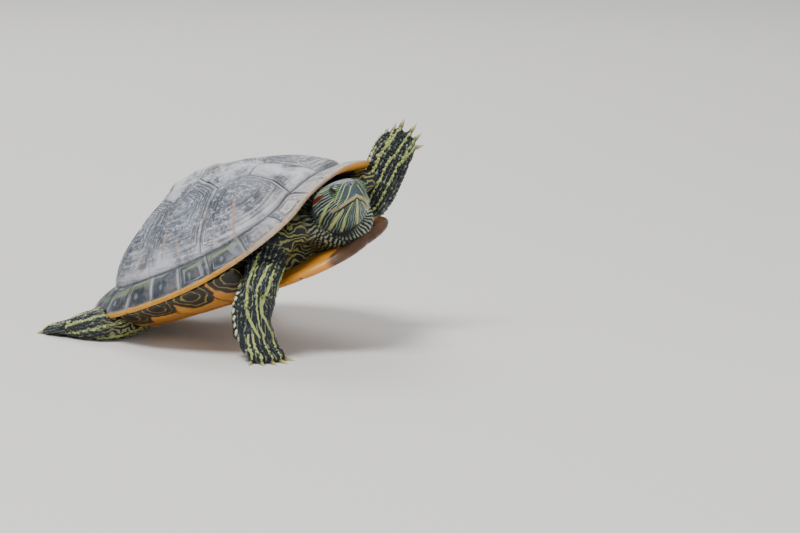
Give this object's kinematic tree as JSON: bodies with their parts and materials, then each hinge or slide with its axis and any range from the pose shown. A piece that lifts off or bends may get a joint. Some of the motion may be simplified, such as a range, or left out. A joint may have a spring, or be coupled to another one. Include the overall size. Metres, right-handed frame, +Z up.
{
  "type": "red-eared slider turtle",
  "caption": "Life-size still model of a slider turtle climbing, domed shell pitched up and leaning, one forefoot planted and the other raised, head turned aside.",
  "frame": {"origin": "on the floor, under the middle of the whole animal's box", "axes": "+X is the way the turtle climbs (nose end), +Y is its left, +Z is up from the floor"},
  "size_m": [0.224, 0.1822, 0.1374],
  "materials": {
    "carapace_horn": "satin, dry weathered horn with growth rings",
    "plastron_horn": "satin polished horn with dark blotches",
    "skin": "scaly skin, satin, dark with yellow-green stripes",
    "claw_horn": "satin horn",
    "eye": "wet gloss"
  },
  "bodies": {
    "root": {"carapace": "carapace_horn", "claw_fore_left_1": "claw_horn", "claw_fore_left_2": "claw_horn", "claw_fore_left_3": "claw_horn", "claw_fore_left_4": "claw_horn", "claw_fore_left_5": "claw_horn", "claw_fore_right_1": "claw_horn", "claw_fore_right_2": "claw_horn", "claw_fore_right_3": "claw_horn", "claw_fore_right_4": "claw_horn", "claw_fore_right_5": "claw_horn", "claw_hind_left_1": "claw_horn", "claw_hind_left_2": "claw_horn", "claw_hind_left_3": "claw_horn", "claw_hind_left_4": "claw_horn", "claw_hind_right_1": "claw_horn", "claw_hind_right_2": "claw_horn", "claw_hind_right_3": "claw_horn", "claw_hind_right_4": "claw_horn", "eye_left": "eye", "eye_right": "eye", "forefoot_left": "skin", "forefoot_right": "skin", "foreleg_lower_left": "skin", "foreleg_lower_right": "skin", "foreleg_upper_left": "skin", "foreleg_upper_right": "skin", "head": "skin", "hindfoot_left": "skin", "hindfoot_right": "skin", "lower_jaw": "skin", "neck": "skin", "plastron": "plastron_horn", "shank_left": "skin", "shank_right": "skin", "tail": "skin", "thigh_left": "skin", "thigh_right": "skin", "trunk": "skin"}
  },
  "joints": []
}
